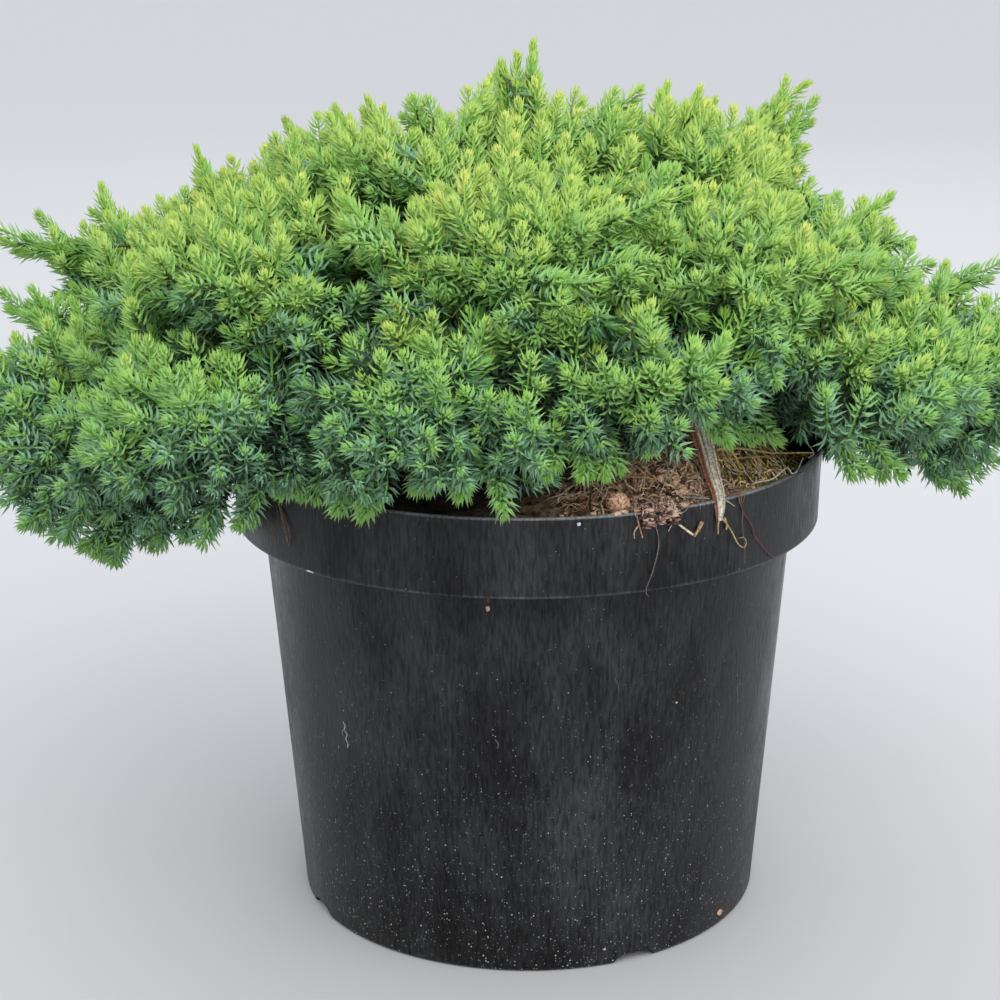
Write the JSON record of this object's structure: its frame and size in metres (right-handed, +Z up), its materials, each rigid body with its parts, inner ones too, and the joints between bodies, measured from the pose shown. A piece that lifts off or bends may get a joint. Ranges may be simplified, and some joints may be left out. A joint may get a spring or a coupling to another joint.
{
  "type": "potted dwarf juniper",
  "caption": "Low mounded dwarf juniper with dense needle foliage spilling over the rim of a round black nursery pot, standing on the pot's flat underside.",
  "frame": {"origin": "centre of the flat underside of the pot, on the pot's axis", "axes": "+Z up along the pot's axis, +X to the right across the widest spread of the crown, +Y away from the front, which is the side with the heap of compost and the shorter shoots"},
  "size_m": [0.5141, 0.4133, 0.403],
  "materials": {
    "pot_plastic": "black moulded polypropylene, semi-gloss, with faint vertical streaks and dust specks",
    "compost": "dark fibrous compost with bark chips, moss and dry straw",
    "bark": "thin reddish brown bark that peels lengthwise",
    "needles": "short pointed needles, lime green at the shoot tips and blue-green inside"
  },
  "bodies": {
    "root": {"bough_low_back": "bark", "bough_low_front": "bark", "bough_low_front_right": "bark", "bough_low_left": "bark", "bough_low_left_back": "bark", "bough_low_left_front": "bark", "bough_low_right": "bark", "bough_low_right_back": "bark", "bough_low_right_front": "bark", "bough_top_left": "bark", "bough_top_middle": "bark", "bough_top_right": "bark", "compost": "compost", "limb_high_back": "bark", "limb_high_front": "bark", "limb_high_front_right": "bark", "limb_high_left": "bark", "limb_high_left_back": "bark", "limb_high_left_front": "bark", "limb_high_right": "bark", "limb_high_right_back": "bark", "mass_high_back": "needles", "mass_high_front": "needles", "mass_high_front_right": "needles", "mass_high_left": "needles", "mass_high_left_back": "needles", "mass_high_left_front": "needles", "mass_high_right": "needles", "mass_high_right_back": "needles", "mass_low_back": "needles", "mass_low_front": "needles", "mass_low_front_right": "needles", "mass_low_left": "needles", "mass_low_left_back": "needles", "mass_low_left_front": "needles", "mass_low_right": "needles", "mass_low_right_back": "needles", "mass_low_right_front": "needles", "mass_top_left": "needles", "mass_top_middle": "needles", "mass_top_right": "needles", "pot": "pot_plastic", "stem": "bark"}
  },
  "joints": []
}
